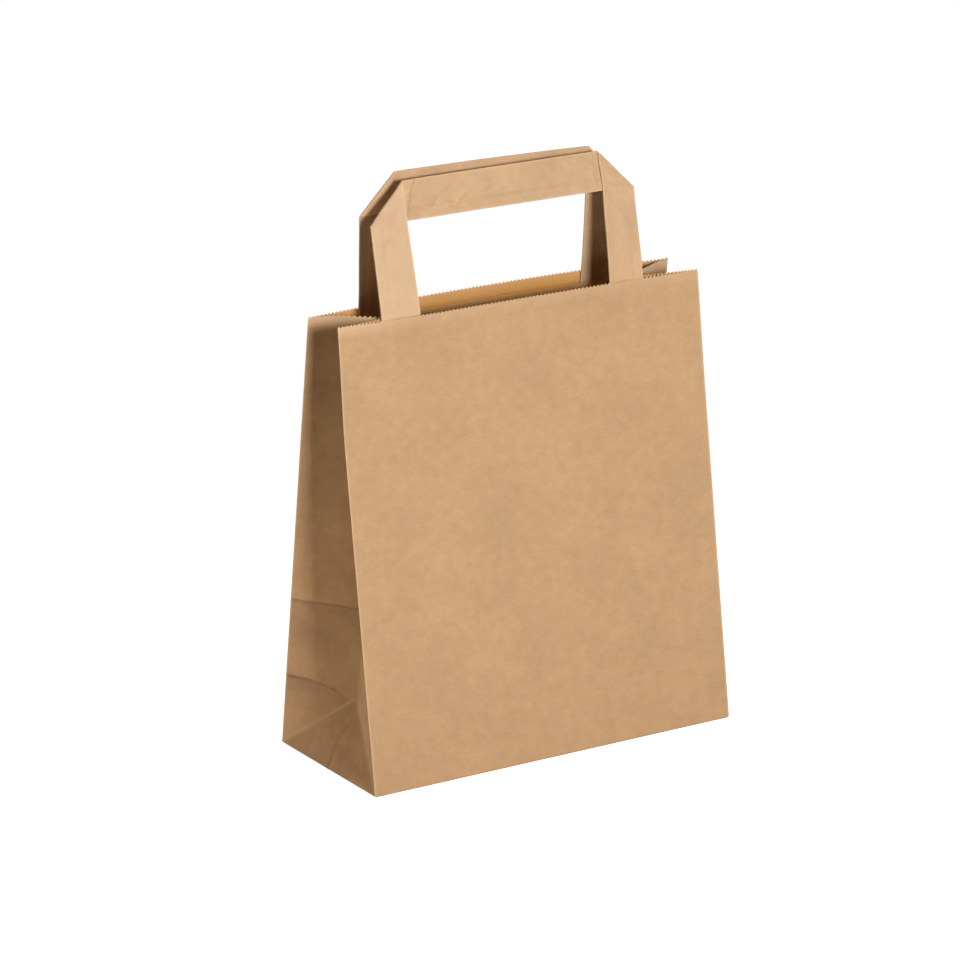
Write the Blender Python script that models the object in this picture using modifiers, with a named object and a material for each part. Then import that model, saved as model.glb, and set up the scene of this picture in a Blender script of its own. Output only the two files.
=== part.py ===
"""Small kraft paper carrier bag with flat paper handles.

Each piece starts as the flat blank that the real one is cut from. The score
lines are cut into the blank, then every point of it is moved to its folded place.
Metres, +Z up. The origin is the middle of the base, on the surface it stands on.
The front panel faces -Y.
"""
import math

import bmesh
import bpy
from mathutils import Vector

# Bag
PANEL_WIDTH = 0.180
GUSSET_WIDTH = 0.080
BAG_HEIGHT = 0.200
PAPER = 0.0002

# Mouth
MOUTH_GAP = 0.0220
FRONT_LEAN_SHARE = 0.462
FRONT_BOW = -0.0010
BACK_BOW = 0.0032
LEFT_FLARE = 0.0026
RIGHT_FLARE = 0.0007
FLARE_DROP = 0.055
TOOTH_PITCH = 0.0019
TOOTH_DEPTH = 0.0006
TOOTH_MARGIN = 0.003

# Gusset folds
CREASE_SHARE = 0.20
FOLD_SLACK = 0.95
KNEE_HEIGHT = 0.0325
KNEE_TUCK = 0.0150
LEFT_SWAY = 0.0029
RIGHT_SWAY = 0.0
FLAT_CREASE_HEIGHT = 0.070
FLAT_CREASE_REACH = 0.009
FLAT_CREASE_RISE = 0.0012

# Base flaps and the glued seam
FLAP_LAP = 0.011
SEAM_WIDTH = 0.013
SEAM_INSET = 0.016
SEAM_MARGIN = 0.003

# Handle tape
TAPE_WIDTH = 0.0170
TAPE = 0.0006
FOLD_GAP = 0.0002
HANDLE_SPAN = 0.1285
LEG_TUCK = 0.038
LEG_SPLAY = 0.0010
BEND_LENGTH = 0.012
FRONT_RISE = 0.0555
FRONT_SHIFT = -0.0025
FRONT_BEND = math.radians(2.5)
FRONT_TILT = 0.0
REAR_RISE = 0.0566
REAR_SHIFT = -0.0012
REAR_BEND = math.radians(-5.0)
REAR_TILT = math.radians(1.0)

# Patches over the handle ends
PATCH_WIDTH = 0.152
PATCH_HEIGHT = 0.042
PATCH_DROP = 0.006
PATCH_RAMP = 0.0025

# Clearance between pieces that touch on the real bag
CLEARANCE = 0.0003

# Mesh fineness, and how far a layer that joins another one reaches into it
PANEL_STRIPS = 10
GUSSET_STRIPS = 3
UPPER_ROWS = 7
TAPE_STEP = 0.012
EMBED = PAPER / 2
MERGE = 1e-6

BASE_HEIGHT = 2 * PAPER
LEAN_DEPTH = GUSSET_WIDTH - MOUTH_GAP
FRONT_LEAN = math.asin(LEAN_DEPTH * FRONT_LEAN_SHARE / BAG_HEIGHT)
BACK_LEAN = math.asin(LEAN_DEPTH * (1 - FRONT_LEAN_SHARE) / BAG_HEIGHT)
KNEE_SLOPE = GUSSET_WIDTH / 2 / KNEE_HEIGHT


def clear_scene():
    for obj in list(bpy.data.objects):
        bpy.data.objects.remove(obj, do_unlink=True)


def make_collection(name):
    collection = bpy.data.collections.new(name)
    bpy.context.scene.collection.children.link(collection)
    return collection


def make_material(name, colour, roughness):
    material = bpy.data.materials.new(name)
    material.use_nodes = True
    shader = material.node_tree.nodes["Principled BSDF"]
    shader.inputs["Base Color"].default_value = (*colour, 1.0)
    shader.inputs["Roughness"].default_value = roughness
    shader.inputs["Metallic"].default_value = 0.0
    return material


def make_object(name, bm, collection, material=None):
    mesh = bpy.data.meshes.new(name)
    bm.to_mesh(mesh)
    bm.free()
    obj = bpy.data.objects.new(name, mesh)
    collection.objects.link(obj)
    if material:
        mesh.materials.append(material)
    return obj


def smoothstep(value):
    value = min(max(value, 0.0), 1.0)
    return value * value * (3 - 2 * value)


def lean_of(side):
    return FRONT_LEAN if side < 0 else BACK_LEAN


def panel_point(side, x, v, depth=0.0):
    """Place a point of the front (side -1) or back (side 1) panel.

    v runs up the paper from the base fold and depth goes into the bag.
    """
    lean = lean_of(side)
    bow = FRONT_BOW if side < 0 else BACK_BOW
    rise = min(max(v / BAG_HEIGHT, 0.0), 1.0) ** 2
    across = 2 * x / PANEL_WIDTH
    outward = bow * (1 - across ** 2) * rise + corner_flare(side, across, v) - depth
    y = GUSSET_WIDTH / 2 - v * math.sin(lean) + outward * math.cos(lean)
    z = BASE_HEIGHT + v * math.cos(lean) + outward * math.sin(lean)
    return Vector((x, side * y, z))


def corner_flare(side, across, v):
    """The front mouth corners stand forward a little, pushed by the folded gussets."""
    if side > 0:
        return 0.0
    height = smoothstep((v - BAG_HEIGHT + FLARE_DROP) / FLARE_DROP)
    flare = LEFT_FLARE if across < 0 else RIGHT_FLARE
    return flare * height * across ** 2


def flat_blank(width, height, x_lines, y_lines):
    """A sheet from the origin to (width, height), scored along x and y lines."""
    bm = bmesh.new()
    bmesh.ops.create_grid(bm, x_segments=1, y_segments=1, size=0.5)
    bmesh.ops.translate(bm, verts=bm.verts, vec=(0.5, 0.5, 0))
    bmesh.ops.scale(bm, verts=bm.verts, vec=(width, height, 1))
    for x in x_lines:
        score(bm, (x, 0), (1, 0))
    for y in y_lines:
        score(bm, (0, y), (0, 1))
    return bm


def score(bm, point, normal, faces=None):
    """Cut a straight score line into the blank, or into some of its faces."""
    chosen = bm.faces[:] if faces is None else faces
    geom = set(chosen)
    for face in chosen:
        geom.update(face.edges)
        geom.update(face.verts)
    bmesh.ops.bisect_plane(bm, geom=list(geom), dist=MERGE, plane_co=(*point, 0),
                           plane_no=(*normal, 0))


def split_evenly(start, end, parts):
    return [start + (end - start) * index / parts for index in range(parts + 1)]


def steps_between(start, end, step):
    return split_evenly(start, end, max(1, round(abs(end - start) / step)))


def pinked_edge(bm, edges, along, out):
    """Cut a zigzag into straight edges: along runs with them and out points to the notches."""
    for edge in edges:
        first, last = sorted(edge.verts, key=lambda vert: vert.co.dot(along))
        start, end = first.co.copy(), last.co.copy()
        teeth = max(1, round((end - start).length / TOOTH_PITCH))
        corner = first
        for index in range(1, 2 * teeth):
            current = next(e for e in corner.link_edges if last in e.verts)
            corner = bmesh.utils.edge_split(current, corner, 0.5)[1]
            corner.co = start.lerp(end, index / (2 * teeth))
            if index % 2:
                corner.co += out * TOOTH_DEPTH


# Bag body

def knee_point(end):
    """The point where a gusset's diagonal creases meet, tucked in above the base."""
    rise = math.sqrt(KNEE_HEIGHT ** 2 - KNEE_TUCK ** 2)
    return Vector((end * (PANEL_WIDTH / 2 - KNEE_TUCK), 0, BASE_HEIGHT + rise))


def mouth_crease_point(end):
    """The upper end of a gusset's centre crease, folded in towards the front panel."""
    half = GUSSET_WIDTH / 2
    corner_x = end * PANEL_WIDTH / 2
    front = panel_point(-1, corner_x, BAG_HEIGHT)
    back = panel_point(1, corner_x, BAG_HEIGHT)
    top = front.lerp(back, CREASE_SHARE)
    top.x -= end * FOLD_SLACK * math.sqrt(half ** 2 - (back.y - top.y) ** 2)
    return top


def gusset_point(end, u, v):
    """Place a point of the gusset. u runs from the front fold (0) to the back one.

    Below the knee the paper breaks along its two diagonal creases. Above it each
    half is flat or sways, and the centre crease runs inwards to the mouth. The bag
    was packed flat, which leaves a low ridge across the gusset.
    """
    half = GUSSET_WIDTH / 2
    near = max(min(u, GUSSET_WIDTH - u), 0.0)
    side = -1 if u < half else 1
    corner = panel_point(side, end * PANEL_WIDTH / 2, v)
    knee = knee_point(end)
    if v >= KNEE_HEIGHT:
        share = (v - KNEE_HEIGHT) / (BAG_HEIGHT - KNEE_HEIGHT)
        place = corner.lerp(knee.lerp(mouth_crease_point(end), share), near / half)
        sway = LEFT_SWAY if end < 0 else RIGHT_SWAY
        if side > 0:
            place.y += sway * smoothstep(share) * math.sin(2 * math.pi * near / half)
        ridge = max(1 - abs(v - FLAT_CREASE_HEIGHT) / FLAT_CREASE_REACH, 0.0)
        place.x += end * FLAT_CREASE_RISE * ridge * near / half
        return place
    diagonal = v * KNEE_SLOPE
    if near < diagonal:
        base = panel_point(side, end * PANEL_WIDTH / 2, 0)
        return corner.lerp(base.lerp(knee, v / KNEE_HEIGHT), near / diagonal)
    front = panel_point(-1, end * PANEL_WIDTH / 2, 0)
    back = panel_point(1, end * PANEL_WIDTH / 2, 0)
    base = front.lerp(back, (u - diagonal) / (GUSSET_WIDTH - 2 * diagonal))
    return base.lerp(knee, v / KNEE_HEIGHT)


def body_point(u, v):
    """Fold a point of the tube blank. u runs round the bag from the front left corner."""
    right_gusset = PANEL_WIDTH
    back_panel = right_gusset + GUSSET_WIDTH
    left_gusset = back_panel + PANEL_WIDTH
    if u <= right_gusset:
        return panel_point(-1, u - PANEL_WIDTH / 2, v)
    if u < back_panel:
        return gusset_point(1, u - right_gusset, v)
    if u <= left_gusset:
        return panel_point(1, PANEL_WIDTH / 2 - (u - back_panel), v)
    return gusset_point(-1, GUSSET_WIDTH - (u - left_gusset), v)


def body_blank():
    """The tube's blank with its creases, curve lines and zigzag top edge."""
    girth = 2 * (PANEL_WIDTH + GUSSET_WIDTH)
    x_lines = []
    for start in (0, PANEL_WIDTH + GUSSET_WIDTH):
        x_lines += split_evenly(start, start + PANEL_WIDTH, PANEL_STRIPS)
    gusset_starts = (PANEL_WIDTH, 2 * PANEL_WIDTH + GUSSET_WIDTH)
    for start in gusset_starts:
        x_lines += split_evenly(start, start + GUSSET_WIDTH, 2 * GUSSET_STRIPS)[1:]
    ridge = [FLAT_CREASE_HEIGHT + step * FLAT_CREASE_REACH for step in (-1, 0, 1)]
    rows = [KNEE_HEIGHT] + ridge
    rows += split_evenly(ridge[-1], BAG_HEIGHT - TOOTH_MARGIN, UPPER_ROWS)[1:]
    lines = sorted(set(x_lines) - {0, girth})
    bm = flat_blank(girth, BAG_HEIGHT, lines, rows)
    for start in gusset_starts:
        for corner, slant in ((start, -1), (start + GUSSET_WIDTH, 1)):
            inside = [face for face in bm.faces if in_knee_square(face, start, slant)]
            score(bm, (corner, 0), (1, slant * KNEE_SLOPE), inside)
    top = [edge for edge in bm.edges if all(vert.co.y > BAG_HEIGHT - MERGE for vert in edge.verts)]
    pinked_edge(bm, top, Vector((1, 0, 0)), Vector((0, -1, 0)))
    return bm


def in_knee_square(face, start, slant):
    """Whether a face of the blank lies in the half gusset that a diagonal crosses."""
    centre = face.calc_center_median()
    low = start if slant < 0 else start + GUSSET_WIDTH / 2
    return centre.y < KNEE_HEIGHT and low < centre.x < low + GUSSET_WIDTH / 2


def base_flap(side, low, high, material, cutters):
    """A base flap with slanted ends and a zigzag free edge, from one panel past the middle.

    It keeps one paper inside the base's outline, so that its edges don't lie on the panels.
    """
    reach = GUSSET_WIDTH / 2 + FLAP_LAP
    near_end = PANEL_WIDTH / 2 - 2 * PAPER
    far_end = PANEL_WIDTH / 2 - PAPER - reach
    corners = [(-near_end, PAPER), (near_end, PAPER), (far_end, reach), (-far_end, reach)]
    bm = bmesh.new()
    verts = [bm.verts.new((x, side * (GUSSET_WIDTH / 2 - run), low)) for x, run in corners]
    face = bm.faces.new(verts)
    free = max(face.edges, key=lambda e: -side * sum(v.co.y for v in e.verts))
    pinked_edge(bm, [free], Vector((1, 0, 0)), Vector((0, side, 0)))
    extruded = bmesh.ops.extrude_face_region(bm, geom=bm.faces[:])["geom"]
    lifted = [item for item in extruded if isinstance(item, bmesh.types.BMVert)]
    bmesh.ops.translate(bm, verts=lifted, vec=(0, 0, high - low))
    bmesh.ops.recalc_face_normals(bm, faces=bm.faces[:])
    return make_object("base_flap_cutter", bm, cutters, material)


def seam_strip(material, cutters):
    """The second layer of paper where the tube is glued, on the back panel near its +X edge."""
    left = PANEL_WIDTH / 2 - SEAM_INSET - SEAM_WIDTH
    height = BAG_HEIGHT - 2 * SEAM_MARGIN
    rows = split_evenly(0, height, UPPER_ROWS)[1:-1]
    bm = flat_blank(SEAM_WIDTH, height, [], rows)
    for vert in bm.verts:
        vert.co = panel_point(1, left + vert.co.x, SEAM_MARGIN + vert.co.y, EMBED)
    strip = make_object("seam_cutter", bm, cutters, material)
    face_outwards(strip, Vector((0, 1, 0)))
    add_thickness(strip, PAPER + EMBED, 1.0)
    return strip


def face_outwards(obj, direction):
    """Turn an open sheet so that its faces look along a direction."""
    bm = bmesh.new()
    bm.from_mesh(obj.data)
    total = sum((face.normal * face.calc_area() for face in bm.faces), Vector())
    if total.dot(direction) < 0:
        bmesh.ops.reverse_faces(bm, faces=bm.faces[:])
    bm.to_mesh(obj.data)
    bm.free()


def add_thickness(obj, thickness, offset):
    solidify = obj.modifiers.new("thickness", "SOLIDIFY")
    solidify.thickness = thickness
    solidify.offset = offset
    solidify.use_even_offset = True
    solidify.use_quality_normals = True


def join_on(obj, addition):
    addition.hide_render = True
    addition.display_type = "WIRE"
    join = obj.modifiers.new(addition.name, "BOOLEAN")
    join.operation = "UNION"
    join.solver = "EXACT"
    join.object = addition


def build_body(material, parts, cutters):
    bm = body_blank()
    for vert in bm.verts:
        vert.co = body_point(vert.co.x, vert.co.y)
    bmesh.ops.remove_doubles(bm, verts=bm.verts, dist=MERGE)
    rim = [edge for edge in bm.edges if edge.is_boundary]
    base_edges = [edge for edge in rim if all(v.co.z < BASE_HEIGHT + MERGE for v in edge.verts)]
    bmesh.ops.contextual_create(bm, geom=base_edges)
    bmesh.ops.recalc_face_normals(bm, faces=bm.faces[:])
    base = min(bm.faces, key=lambda face: face.calc_center_median().z)
    if base.normal.z > 0:
        bmesh.ops.reverse_faces(bm, faces=bm.faces[:])
    body = make_object("bag_body", bm, parts, material)
    add_thickness(body, PAPER, -1.0)
    joined = BASE_HEIGHT + EMBED
    join_on(body, base_flap(1, PAPER, joined, material, cutters))
    join_on(body, base_flap(-1, 0.0, joined, material, cutters))
    join_on(body, seam_strip(material, cutters))
    return body


# Handles

def handle_values(side):
    """Rise, sideways shift, bend and tilt of the front or the rear handle."""
    if side < 0:
        return FRONT_RISE, FRONT_SHIFT, FRONT_BEND, FRONT_TILT
    return REAR_RISE, REAR_SHIFT, REAR_BEND, REAR_TILT


def tape_point(side, x, s, depth):
    """Place a point of a handle. s runs up from the mouth and depth goes into the bag."""
    rise, shift, bend, tilt = handle_values(side)
    above = max(s, 0.0)
    bent = above ** 2 / (2 * BEND_LENGTH) if above < BEND_LENGTH else above - BEND_LENGTH / 2
    splay = LEG_SPLAY * above / rise * x / (HANDLE_SPAN / 2)
    lift = -x * math.tan(tilt) * smoothstep(above / rise)
    inward = depth + bent * math.tan(bend)
    return panel_point(side, x + shift + splay, BAG_HEIGHT + s + lift, inward)


def handle_fold(side, a, b):
    """Fold a point of the flat tape, where a runs along it and b across from its lower edge.

    The middle stretch is the grip. Past each diagonal fold the tape turns down
    and becomes a leg, one layer nearer to the panel.
    """
    leg_depth = PAPER + CLEARANCE + TAPE / 2
    grip_depth = leg_depth + TAPE + FOLD_GAP
    half = HANDLE_SPAN / 2
    low = handle_values(side)[0] - TAPE_WIDTH
    end = -1 if a < 0 else 1
    if abs(a) - half + b > 0:
        return tape_point(side, end * (half - b), low + half - abs(a), leg_depth)
    return tape_point(side, a, low + b, grip_depth)


def tape_blank(rise):
    """The flat tape with its diagonal folds and cross lines, its middle at x = 0."""
    half = HANDLE_SPAN / 2
    reach = half + rise - TAPE_WIDTH + LEG_TUCK
    cross = steps_between(-(half - TAPE_WIDTH), half - TAPE_WIDTH, TAPE_STEP)
    legs = steps_between(half, reach, TAPE_STEP / 2)[1:-1]
    lines = cross + legs + [-run for run in legs]
    bm = flat_blank(2 * reach, TAPE_WIDTH, [line + reach for line in lines], [TAPE_WIDTH / 2])
    bmesh.ops.translate(bm, verts=bm.verts, vec=(-reach, 0, 0))
    band = (TAPE + FOLD_GAP) / math.sqrt(2)
    for end in (-1, 1):
        for shift in (-band, band):
            score(bm, (end * (half + shift), 0), (end, 1))
    return bm


def build_handle(name, side, material, parts):
    bm = tape_blank(handle_values(side)[0])
    for vert in bm.verts:
        vert.co = handle_fold(side, vert.co.x, vert.co.y)
    bmesh.ops.recalc_face_normals(bm, faces=bm.faces[:])
    handle = make_object(name, bm, parts, material)
    add_thickness(handle, TAPE, 0.0)
    return handle


# Patches

def patch_depth(x):
    """Depth of the patch's middle plane: on the panel, and stepping over each leg."""
    on_panel = PAPER + CLEARANCE + PAPER / 2
    over_leg = TAPE + CLEARANCE
    outer = HANDLE_SPAN / 2
    inner = outer - TAPE_WIDTH
    away = max(abs(x) - outer, inner - abs(x)) - CLEARANCE
    return on_panel + over_leg * (1 - min(max(away / PATCH_RAMP, 0.0), 1.0))


def build_patch(name, side, material, parts):
    outer = HANDLE_SPAN / 2 + CLEARANCE
    inner = HANDLE_SPAN / 2 - TAPE_WIDTH - CLEARANCE
    breaks = [inner - PATCH_RAMP, inner, outer, outer + PATCH_RAMP]
    lines = [end * x for end in (-1, 1) for x in breaks]
    lines += steps_between(-breaks[0], breaks[0], 2 * TAPE_STEP)[1:-1]
    shift = PATCH_WIDTH / 2
    bm = flat_blank(PATCH_WIDTH, PATCH_HEIGHT, [x + shift for x in lines],
                    split_evenly(0, PATCH_HEIGHT, 3)[1:-1])
    low = BAG_HEIGHT - PATCH_DROP - PATCH_HEIGHT
    centre = handle_values(side)[1]
    for vert in bm.verts:
        x = vert.co.x - shift
        vert.co = panel_point(side, centre + x, low + vert.co.y, patch_depth(x))
    patch = make_object(name, bm, parts, material)
    add_thickness(patch, PAPER, 0.0)
    return patch


def main():
    clear_scene()
    parts = make_collection("paper_carrier_bag")
    cutters = make_collection("cutters")
    kraft = make_material("kraft_paper", (0.62, 0.40, 0.21), 0.85)
    build_body(kraft, parts, cutters)
    for name, side in (("front", -1), ("rear", 1)):
        tape = make_material(name + "_handle_paper", (0.74, 0.52, 0.31), 0.8)
        build_handle(name + "_handle", side, tape, parts)
        lining = make_material(name + "_patch_paper", (0.60, 0.38, 0.19), 0.85)
        build_patch(name + "_handle_patch", side, lining, parts)


main()
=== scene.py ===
import math

import bmesh
import bpy
from mathutils import Matrix, Vector, noise


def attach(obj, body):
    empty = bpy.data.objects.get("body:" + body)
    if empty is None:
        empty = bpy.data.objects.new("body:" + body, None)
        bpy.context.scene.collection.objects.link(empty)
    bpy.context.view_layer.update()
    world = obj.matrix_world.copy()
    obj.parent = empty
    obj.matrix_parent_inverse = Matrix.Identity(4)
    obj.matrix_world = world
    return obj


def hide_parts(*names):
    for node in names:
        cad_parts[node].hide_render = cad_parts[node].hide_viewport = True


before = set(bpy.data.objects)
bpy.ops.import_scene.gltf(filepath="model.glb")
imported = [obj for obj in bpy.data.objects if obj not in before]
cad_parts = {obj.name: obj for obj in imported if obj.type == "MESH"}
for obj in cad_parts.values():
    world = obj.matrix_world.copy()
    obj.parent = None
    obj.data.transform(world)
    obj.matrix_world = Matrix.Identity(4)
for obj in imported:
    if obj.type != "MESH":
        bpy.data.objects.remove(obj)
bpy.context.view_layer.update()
print("frame loaded:", ", ".join(sorted(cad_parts)))


# small helpers

def smoothStep(value):
    value = min(max(value, 0.0), 1.0)
    return value * value * (3 - 2 * value)


def hump(distance, width):
    return math.exp(-(distance / width) ** 2)


def evenSteps(start, end, step):
    parts = max(1, round(abs(end - start) / step))
    return [start + (end - start) * index / parts for index in range(parts + 1)]


def softNoise(point, size, seed):
    # smooth noise from -1 to 1, one lump about every size metres
    return noise.noise(Vector(point) / size + Vector((seed * 7.31, seed * 3.17, seed * 5.53)))


def sheetFromGrid(columns, rows, place, closed=False):
    # a mesh of quads and its grid of points: place gives a point, how rubbed it is, partly a painted
    # highlight, and its tone, random tone with painted light and shade
    bm = bmesh.new()
    uvLayer = bm.loops.layers.uv.new("blank")
    wearAndHighlightLayer = bm.verts.layers.float.new("wearAndHighlight")
    toneLayer = bm.verts.layers.float.new("tone")
    bm.verts.layers.float_vector.new("notch")
    bm.verts.layers.int.new("rimStep")
    grid = []
    for row in rows:
        line = []
        for column in columns[:-1] if closed else columns:
            point, wearAndHighlight, tone = place(column, row)
            vert = bm.verts.new(point)
            vert[wearAndHighlightLayer] = wearAndHighlight
            vert[toneLayer] = tone
            line.append(vert)
        if closed:
            line.append(line[0])
        grid.append(line)
    for r in range(len(rows) - 1):
        for c in range(len(columns) - 1):
            face = bm.faces.new((grid[r][c], grid[r][c + 1], grid[r + 1][c + 1], grid[r + 1][c]))
            corners = ((c, r), (c + 1, r), (c + 1, r + 1), (c, r + 1))
            for loop, (column, row) in zip(face.loops, corners):
                loop[uvLayer].uv = (columns[column] / unitUv, rows[row] / unitUv)
            face.smooth = True
    return bm, grid


def meshObject(name, bm, material):
    mesh = bpy.data.meshes.new(name)
    bm.to_mesh(mesh)
    bm.free()
    mesh.materials.append(material)
    obj = bpy.data.objects.new(name, mesh)
    bpy.context.scene.collection.objects.link(obj)
    return obj


def addThickness(obj, thickness, offset):
    solidify = obj.modifiers.new("thickness", "SOLIDIFY")
    solidify.thickness = thickness
    solidify.offset = offset
    solidify.use_even_offset = False
    solidify.use_quality_normals = True


def bakeModifiers(obj):
    graph = bpy.context.evaluated_depsgraph_get()
    baked = bpy.data.meshes.new_from_object(obj.evaluated_get(graph), preserve_all_data_layers=True,
                                            depsgraph=graph)
    obj.modifiers.clear()
    old = obj.data
    obj.data = baked
    bpy.data.meshes.remove(old)
    baked.name = obj.name


def finishPiece(obj, nodes):
    obj.data.set_sharp_from_angle(angle=math.radians(50))
    for face in obj.data.polygons:
        face.use_smooth = True
    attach(obj, "root")
    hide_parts(*nodes)


unitUv = 0.1  # one UV unit is this many metres of paper

# materials

paperLook = {
    "bodyColour": (0.600, 0.373, 0.199),
    "handleColour": (0.665, 0.435, 0.248),
    "patchColour": (0.700, 0.380, 0.130),
    # the inside is more golden and brighter than the outside: painted light for the warm light bounced
    # inside the bag
    "insideColourWithPaintedBounce": (0.660, 0.325, 0.085),
    "edgeColour": (0.930, 0.770, 0.560),
    "cloudSize": 0.030,
    "cloudStrength": 0.060,
    "blotchSize": 0.0055,
    "blotchStrength": 0.050,
    "fibreSize": 0.0008,
    "fibreStretch": 5.0,
    "fibreStrength": 0.060,
    "fleckShare": 0.03,
    # rubbed colour, also a painted highlight along the bag's folds and creases
    "rubAndHighlightGain": 1.15,
    "rubAndHighlightLift": 0.13,
    "roughness": 0.82,
    "bumpHeight": 0.00003,
}


def addNode(tree, kind, label, x, y, **settings):
    node = tree.nodes.new(kind)
    node.label = label
    node.location = (x, y)
    for key, value in settings.items():
        setattr(node, key, value)
    return node


def mixColours(tree, label, x, y, blend, factor, first, second):
    node = addNode(tree, "ShaderNodeMix", label, x, y, data_type="RGBA", blend_type=blend)
    for name, value in (("Factor_Float", factor), ("A_Color", first), ("B_Color", second)):
        socket = next(s for s in node.inputs if s.identifier == name)
        if hasattr(value, "is_output"):
            tree.links.new(value, socket)
        else:
            socket.default_value = value
    return next(s for s in node.outputs if s.identifier == "Result_Color")


def remap(tree, label, x, y, value, low, high, newLow, newHigh):
    node = addNode(tree, "ShaderNodeMapRange", label, x, y, clamp=True)
    tree.links.new(value, node.inputs["Value"])
    for name, number in (("From Min", low), ("From Max", high), ("To Min", newLow), ("To Max", newHigh)):
        node.inputs[name].default_value = number
    return node.outputs["Result"]


def paperNoise(tree, label, x, y, coords, size, detail, rough=0.55, distortion=0.0):
    node = addNode(tree, "ShaderNodeTexNoise", label, x, y, noise_dimensions="3D")
    node.inputs["Scale"].default_value = unitUv / size
    node.inputs["Detail"].default_value = detail
    node.inputs["Roughness"].default_value = rough
    node.inputs["Distortion"].default_value = distortion
    tree.links.new(coords, node.inputs["Vector"])
    return node.outputs["Fac"]


def stretched(tree, label, x, y, coords, scale, offset=0.0, turn=0.0):
    node = addNode(tree, "ShaderNodeMapping", label, x, y)
    node.inputs["Location"].default_value = (offset, offset * 0.7, offset * 0.3)
    node.inputs["Rotation"].default_value = (0, 0, turn)
    node.inputs["Scale"].default_value = (*scale, 1)
    tree.links.new(coords, node.inputs["Vector"])
    return node.outputs["Vector"]


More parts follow.
